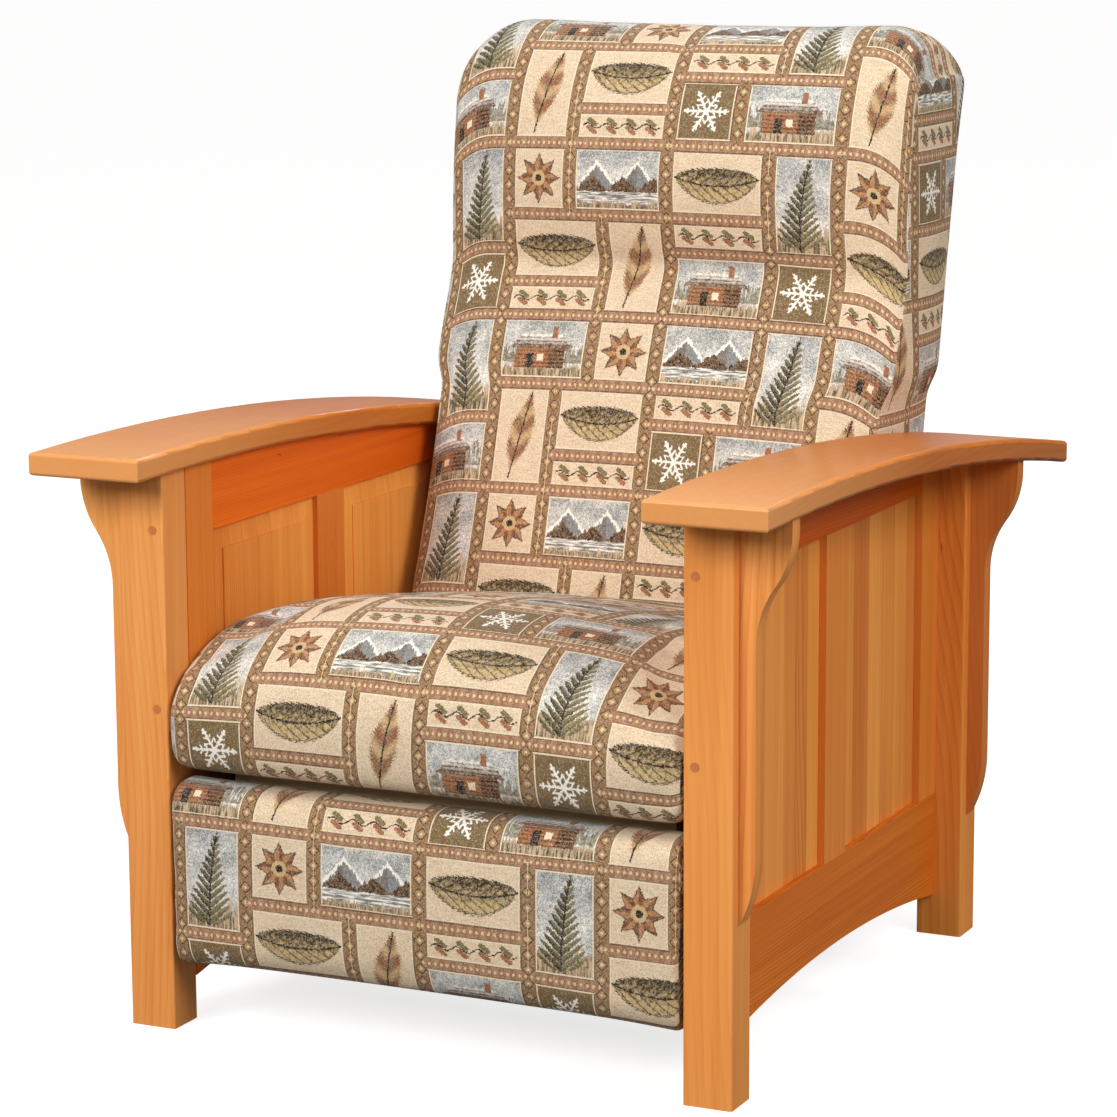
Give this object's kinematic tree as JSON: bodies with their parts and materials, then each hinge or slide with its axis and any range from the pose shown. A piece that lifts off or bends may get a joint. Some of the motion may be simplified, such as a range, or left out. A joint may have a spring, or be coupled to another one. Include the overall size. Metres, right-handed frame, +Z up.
{
  "type": "recliner armchair",
  "caption": "Push-back recliner with bowed wooden arms, raised-panel sides, and a cushioned seat, tall back and footrest in woven upholstery.",
  "frame": {"origin": "on the floor at the middle of the outer box", "axes": "+X to the right seen from the front, -Y towards the front, +Z up"},
  "size_m": [0.804, 0.882, 1.01],
  "materials": {
    "cherry_wood": "satin clear-coated natural cherry, legs, stiles, rails and corbels",
    "cherry_arm": "satin clear-coated natural cherry, a little glossier on the arms",
    "cherry_panel": "satin clear-coated cherry panels glued up of several boards",
    "cherry_peg": "end-grain cherry pegs",
    "tapestry": "heavy woven patchwork tapestry",
    "plywood": "plain plywood inside the upholstery",
    "webbing": "elastic seat webbing",
    "dark_steel": "satin black painted steel"
  },
  "bodies": {
    "frame": {"left_front_leg": "cherry_wood", "right_front_leg": "cherry_wood", "left_rear_leg": "cherry_wood", "right_rear_leg": "cherry_wood", "left_arm": "cherry_arm", "right_arm": "cherry_arm", "left_front_corbel": "cherry_wood", "right_front_corbel": "cherry_wood", "left_rear_corbel": "cherry_wood", "right_rear_corbel": "cherry_wood", "left_front_stile": "cherry_wood", "right_front_stile": "cherry_wood", "left_centre_stile": "cherry_wood", "right_centre_stile": "cherry_wood", "left_rear_stile": "cherry_wood", "right_rear_stile": "cherry_wood", "left_top_rail": "cherry_wood", "right_top_rail": "cherry_wood", "left_bottom_rail": "cherry_wood", "right_bottom_rail": "cherry_wood", "left_front_panel": "cherry_panel", "right_front_panel": "cherry_panel", "left_rear_panel": "cherry_panel", "right_rear_panel": "cherry_panel", "leg_pegs": "cherry_peg", "rear_stretcher": "cherry_wood", "left_base_plate": "dark_steel", "right_base_plate": "dark_steel", "base_tubes": "dark_steel"},
    "rear_carriers": {"left_rear_carrier": "dark_steel", "right_rear_carrier": "dark_steel"},
    "front_carriers": {"left_front_carrier": "dark_steel", "right_front_carrier": "dark_steel"},
    "seat": {"left_seat_side_rail": "plywood", "right_seat_side_rail": "plywood", "seat_cross_rails": "plywood", "seat_webbing": "webbing", "seat_cushion": "tapestry", "left_side_plate": "dark_steel", "right_side_plate": "dark_steel"},
    "links_a": {"left_scissor_link_a": "dark_steel", "right_scissor_link_a": "dark_steel"},
    "links_b": {"left_scissor_link_b": "dark_steel", "right_scissor_link_b": "dark_steel"},
    "links_c": {"left_scissor_link_c": "dark_steel", "right_scissor_link_c": "dark_steel"},
    "links_d": {"left_scissor_link_d": "dark_steel", "right_scissor_link_d": "dark_steel"},
    "links_e": {"left_scissor_link_e": "dark_steel", "right_scissor_link_e": "dark_steel"},
    "footrest": {"left_footrest_bracket": "dark_steel", "right_footrest_bracket": "dark_steel", "footrest_board": "plywood", "footrest_pad": "tapestry"},
    "back": {"left_back_post": "plywood", "right_back_post": "plywood", "back_rails": "plywood", "back_panel": "tapestry", "back_hinge_plates": "dark_steel", "back_cushion": "tapestry"}
  },
  "joints": [
    {"name": "seat_glide", "type": "hinge", "parent": "frame", "child": "rear_carriers", "pos_m": [0, 0.071, 0.095], "axis": [1, 0, 0], "range_deg": [0, 26]},
    {"name": "seat_level", "type": "hinge", "parent": "rear_carriers", "child": "seat", "pos_m": [0, 0.10101, 0.22498], "axis": [1, 0, 0], "range_deg": [-26, 0]},
    {"name": "front_carrier_swing", "type": "hinge", "parent": "frame", "child": "front_carriers", "pos_m": [0, -0.149, 0.095], "axis": [1, 0, 0], "range_deg": [0, 26]},
    {"name": "link_a_swing", "type": "hinge", "parent": "seat", "child": "links_a", "pos_m": [0, -0.249, 0.258], "axis": [1, 0, 0], "range_deg": [-78, 0]},
    {"name": "link_b_fold", "type": "hinge", "parent": "links_a", "child": "links_b", "pos_m": [0, -0.27466, 0.09602], "axis": [1, 0, 0], "range_deg": [0, 156]},
    {"name": "link_c_fold", "type": "hinge", "parent": "links_a", "child": "links_c", "pos_m": [0, -0.26183, 0.17701], "axis": [1, 0, 0], "range_deg": [0, 156]},
    {"name": "link_d_fold", "type": "hinge", "parent": "links_c", "child": "links_d", "pos_m": [0, -0.26612, 0.2589], "axis": [1, 0, 0], "range_deg": [-156, 0]},
    {"name": "link_e_fold", "type": "hinge", "parent": "links_d", "child": "links_e", "pos_m": [0, -0.29177, 0.09692], "axis": [1, 0, 0], "range_deg": [0, 156]},
    {"name": "footrest_tilt", "type": "hinge", "parent": "links_b", "child": "footrest", "pos_m": [0, -0.28324, 0.25979], "axis": [1, 0, 0], "range_deg": [-156, 0]},
    {"name": "back_recline", "type": "hinge", "parent": "seat", "child": "back", "pos_m": [0, 0.226, 0.29], "axis": [1, 0, 0], "range_deg": [-35, 0]}
  ],
  "couplings": [
    {"joint": "seat_level", "follows": "seat_glide", "ratio": -1},
    {"joint": "front_carrier_swing", "follows": "seat_glide", "ratio": 1},
    {"joint": "link_a_swing", "follows": "seat_glide", "ratio": -3},
    {"joint": "link_b_fold", "follows": "seat_glide", "ratio": 6},
    {"joint": "link_c_fold", "follows": "seat_glide", "ratio": 6},
    {"joint": "link_d_fold", "follows": "seat_glide", "ratio": -6},
    {"joint": "link_e_fold", "follows": "seat_glide", "ratio": 6},
    {"joint": "footrest_tilt", "follows": "seat_glide", "ratio": -6}
  ]
}
